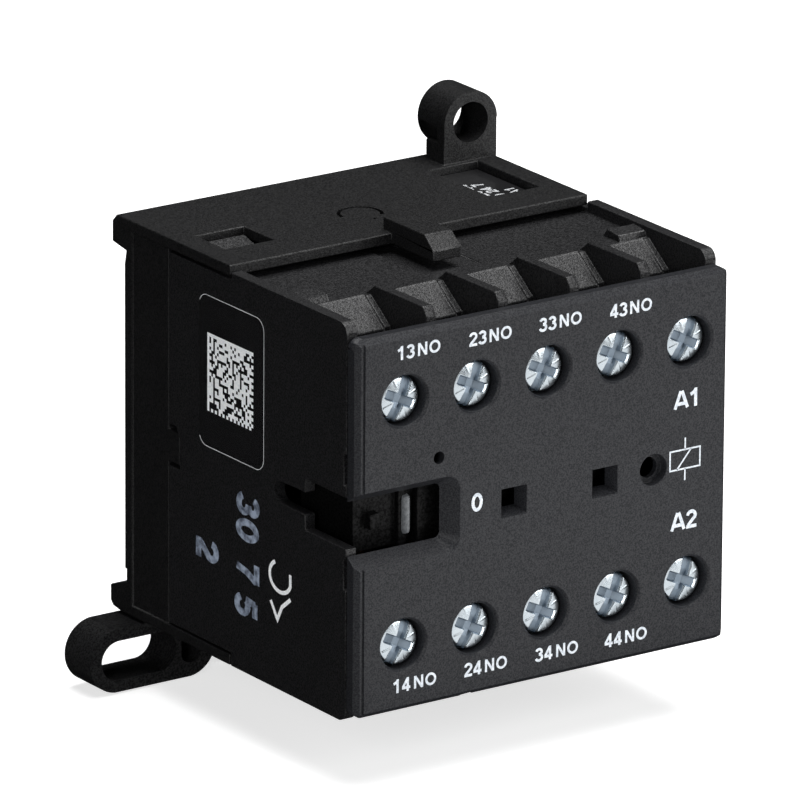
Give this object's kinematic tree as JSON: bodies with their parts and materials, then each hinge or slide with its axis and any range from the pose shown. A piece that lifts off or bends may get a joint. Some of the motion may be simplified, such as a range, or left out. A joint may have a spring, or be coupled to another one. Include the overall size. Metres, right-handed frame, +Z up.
{
  "type": "din rail contactor",
  "caption": "Compact four-pole contactor relay with screw terminals, sprung contact carrier, magnet coil and a rail base with diagonal fixing lugs.",
  "frame": {"origin": "centre of the rail seat, on the flat back face of the base", "axes": "+Z up along the height, +X to the right seen from the front, +Y out of the back towards the mounting rail; the cover faces -Y"},
  "size_m": [0.0514, 0.0442, 0.0567],
  "materials": {
    "base_plastic": "black glass-filled polyamide, fine moulded texture",
    "housing_plastic": "black glass-filled polyamide, spark-eroded texture",
    "cover_plastic": "dark grey polyamide, fine satin texture",
    "carrier_plastic": "black thermoset moulding",
    "bobbin_plastic": "natural glass-filled polyamide",
    "latch_plastic": "black polyamide, slightly glossy",
    "enamelled_copper": "enamelled copper wire under clear tape",
    "lamination_steel": "stacked electrical steel sheets, ground pole faces",
    "bare_copper": "bare copper",
    "cushion_rubber": "moulded rubber pad",
    "ground_steel": "ground steel pin",
    "contact_silver": "silver alloy",
    "contact_copper": "copper alloy strip with silver tips",
    "spring_steel": "drawn spring wire",
    "terminal_brass": "stamped brass strip, nickel flashed",
    "zinc_screw": "blue zinc plated steel",
    "zinc_washer": "zinc plated steel",
    "printed_label": "black printed label",
    "gloss_label": "glossy black sticker"
  },
  "bodies": {
    "housing": {"base_housing": "base_plastic", "contact_housing": "housing_plastic", "front_cover": "cover_plastic", "coil_bobbin": "bobbin_plastic", "coil_winding": "enamelled_copper", "coil_leads": "enamelled_copper", "magnet_core": "lamination_steel", "shading_rings": "bare_copper", "core_cushion": "cushion_rubber", "fixed_contact_tips": "contact_silver", "return_spring_upper": "spring_steel", "return_spring_lower": "spring_steel", "latch_spring": "spring_steel", "coil_label": "printed_label", "side_label": "gloss_label", "terminal_13": "terminal_brass", "terminal_23": "terminal_brass", "terminal_33": "terminal_brass", "terminal_43": "terminal_brass", "terminal_a1": "terminal_brass", "terminal_14": "terminal_brass", "terminal_24": "terminal_brass", "terminal_34": "terminal_brass", "terminal_44": "terminal_brass", "terminal_a2": "terminal_brass"},
    "carrier": {"contact_carrier": "carrier_plastic", "armature": "lamination_steel", "armature_pin": "ground_steel", "contact_spring_1": "spring_steel", "contact_spring_2": "spring_steel", "contact_spring_3": "spring_steel", "contact_spring_4": "spring_steel"},
    "latch": {"rail_latch": "latch_plastic"},
    "bridge_1": {"contact_bridge_1": "contact_copper"},
    "bridge_2": {"contact_bridge_2": "contact_copper"},
    "bridge_3": {"contact_bridge_3": "contact_copper"},
    "bridge_4": {"contact_bridge_4": "contact_copper"},
    "clamp_13": {"clamp_washer_13": "zinc_washer"},
    "screw_13": {"terminal_screw_13": "zinc_screw"},
    "clamp_23": {"clamp_washer_23": "zinc_washer"},
    "screw_23": {"terminal_screw_23": "zinc_screw"},
    "clamp_33": {"clamp_washer_33": "zinc_washer"},
    "screw_33": {"terminal_screw_33": "zinc_screw"},
    "clamp_43": {"clamp_washer_43": "zinc_washer"},
    "screw_43": {"terminal_screw_43": "zinc_screw"},
    "clamp_a1": {"clamp_washer_a1": "zinc_washer"},
    "screw_a1": {"terminal_screw_a1": "zinc_screw"},
    "clamp_14": {"clamp_washer_14": "zinc_washer"},
    "screw_14": {"terminal_screw_14": "zinc_screw"},
    "clamp_24": {"clamp_washer_24": "zinc_washer"},
    "screw_24": {"terminal_screw_24": "zinc_screw"},
    "clamp_34": {"clamp_washer_34": "zinc_washer"},
    "screw_34": {"terminal_screw_34": "zinc_screw"},
    "clamp_44": {"clamp_washer_44": "zinc_washer"},
    "screw_44": {"terminal_screw_44": "zinc_screw"},
    "clamp_a2": {"clamp_washer_a2": "zinc_washer"},
    "screw_a2": {"terminal_screw_a2": "zinc_screw"}
  },
  "joints": [
    {"name": "carrier_slide", "type": "slide", "parent": "housing", "child": "carrier", "axis": [0, 1, 0], "range_m": [0, 0.003], "stiffness_N_per_m": 250, "springref_m": -0.004, "deforming": ["return_spring_upper", "return_spring_lower"]},
    {"name": "latch_slide", "type": "slide", "parent": "housing", "child": "latch", "axis": [0, 0, -1], "range_m": [0, 0.0015], "stiffness_N_per_m": 600, "springref_m": -0.001, "deforming": ["latch_spring"]},
    {"name": "bridge_1_slide", "type": "slide", "parent": "carrier", "child": "bridge_1", "axis": [0, 1, 0], "range_m": [-0.00105, 0], "deforming": ["contact_spring_1"]},
    {"name": "bridge_2_slide", "type": "slide", "parent": "carrier", "child": "bridge_2", "axis": [0, 1, 0], "range_m": [-0.00105, 0], "deforming": ["contact_spring_2"]},
    {"name": "bridge_3_slide", "type": "slide", "parent": "carrier", "child": "bridge_3", "axis": [0, 1, 0], "range_m": [-0.00105, 0], "deforming": ["contact_spring_3"]},
    {"name": "bridge_4_slide", "type": "slide", "parent": "carrier", "child": "bridge_4", "axis": [0, 1, 0], "range_m": [-0.00105, 0], "deforming": ["contact_spring_4"]},
    {"name": "clamp_13_slide", "type": "slide", "parent": "housing", "child": "clamp_13", "axis": [0, 1, 0], "range_m": [0, 0.0024]},
    {"name": "screw_13_turn", "type": "hinge", "parent": "clamp_13", "child": "screw_13", "pos_m": [-0.01683, -0.038, 0.0119], "axis": [0, 1, 0], "range_deg": [0, 1729]},
    {"name": "clamp_23_slide", "type": "slide", "parent": "housing", "child": "clamp_23", "axis": [0, 1, 0], "range_m": [0, 0.0024]},
    {"name": "screw_23_turn", "type": "hinge", "parent": "clamp_23", "child": "screw_23", "pos_m": [-0.00816, -0.038, 0.0119], "axis": [0, 1, 0], "range_deg": [0, 1729]},
    {"name": "clamp_33_slide", "type": "slide", "parent": "housing", "child": "clamp_33", "axis": [0, 1, 0], "range_m": [0, 0.0024]},
    {"name": "screw_33_turn", "type": "hinge", "parent": "clamp_33", "child": "screw_33", "pos_m": [0.00051, -0.038, 0.0119], "axis": [0, 1, 0], "range_deg": [0, 1729]},
    {"name": "clamp_43_slide", "type": "slide", "parent": "housing", "child": "clamp_43", "axis": [0, 1, 0], "range_m": [0, 0.0024]},
    {"name": "screw_43_turn", "type": "hinge", "parent": "clamp_43", "child": "screw_43", "pos_m": [0.00918, -0.038, 0.0119], "axis": [0, 1, 0], "range_deg": [0, 1729]},
    {"name": "clamp_a1_slide", "type": "slide", "parent": "housing", "child": "clamp_a1", "axis": [0, 1, 0], "range_m": [0, 0.0024]},
    {"name": "screw_a1_turn", "type": "hinge", "parent": "clamp_a1", "child": "screw_a1", "pos_m": [0.01785, -0.038, 0.0119], "axis": [0, 1, 0], "range_deg": [0, 1729]},
    {"name": "clamp_14_slide", "type": "slide", "parent": "housing", "child": "clamp_14", "axis": [0, 1, 0], "range_m": [0, 0.0024]},
    {"name": "screw_14_turn", "type": "hinge", "parent": "clamp_14", "child": "screw_14", "pos_m": [-0.01683, -0.038, -0.0135], "axis": [0, 1, 0], "range_deg": [0, 1729]},
    {"name": "clamp_24_slide", "type": "slide", "parent": "housing", "child": "clamp_24", "axis": [0, 1, 0], "range_m": [0, 0.0024]},
    {"name": "screw_24_turn", "type": "hinge", "parent": "clamp_24", "child": "screw_24", "pos_m": [-0.00816, -0.038, -0.0135], "axis": [0, 1, 0], "range_deg": [0, 1729]},
    {"name": "clamp_34_slide", "type": "slide", "parent": "housing", "child": "clamp_34", "axis": [0, 1, 0], "range_m": [0, 0.0024]},
    {"name": "screw_34_turn", "type": "hinge", "parent": "clamp_34", "child": "screw_34", "pos_m": [0.00051, -0.038, -0.0135], "axis": [0, 1, 0], "range_deg": [0, 1729]},
    {"name": "clamp_44_slide", "type": "slide", "parent": "housing", "child": "clamp_44", "axis": [0, 1, 0], "range_m": [0, 0.0024]},
    {"name": "screw_44_turn", "type": "hinge", "parent": "clamp_44", "child": "screw_44", "pos_m": [0.00918, -0.038, -0.0135], "axis": [0, 1, 0], "range_deg": [0, 1729]},
    {"name": "clamp_a2_slide", "type": "slide", "parent": "housing", "child": "clamp_a2", "axis": [0, 1, 0], "range_m": [0, 0.0024]},
    {"name": "screw_a2_turn", "type": "hinge", "parent": "clamp_a2", "child": "screw_a2", "pos_m": [0.01785, -0.038, -0.0135], "axis": [0, 1, 0], "range_deg": [0, 1729]}
  ],
  "couplings": [
    {"joint": "bridge_1_slide", "follows": "carrier_slide", "ratio": -0.35},
    {"joint": "bridge_2_slide", "follows": "carrier_slide", "ratio": -0.35},
    {"joint": "bridge_3_slide", "follows": "carrier_slide", "ratio": -0.35},
    {"joint": "bridge_4_slide", "follows": "carrier_slide", "ratio": -0.35},
    {"joint": "screw_13_turn", "follows": "clamp_13_slide", "rad_per_m": 12566},
    {"joint": "screw_23_turn", "follows": "clamp_23_slide", "rad_per_m": 12566},
    {"joint": "screw_33_turn", "follows": "clamp_33_slide", "rad_per_m": 12566},
    {"joint": "screw_43_turn", "follows": "clamp_43_slide", "rad_per_m": 12566},
    {"joint": "screw_a1_turn", "follows": "clamp_a1_slide", "rad_per_m": 12566},
    {"joint": "screw_14_turn", "follows": "clamp_14_slide", "rad_per_m": 12566},
    {"joint": "screw_24_turn", "follows": "clamp_24_slide", "rad_per_m": 12566},
    {"joint": "screw_34_turn", "follows": "clamp_34_slide", "rad_per_m": 12566},
    {"joint": "screw_44_turn", "follows": "clamp_44_slide", "rad_per_m": 12566},
    {"joint": "screw_a2_turn", "follows": "clamp_a2_slide", "rad_per_m": 12566}
  ]
}
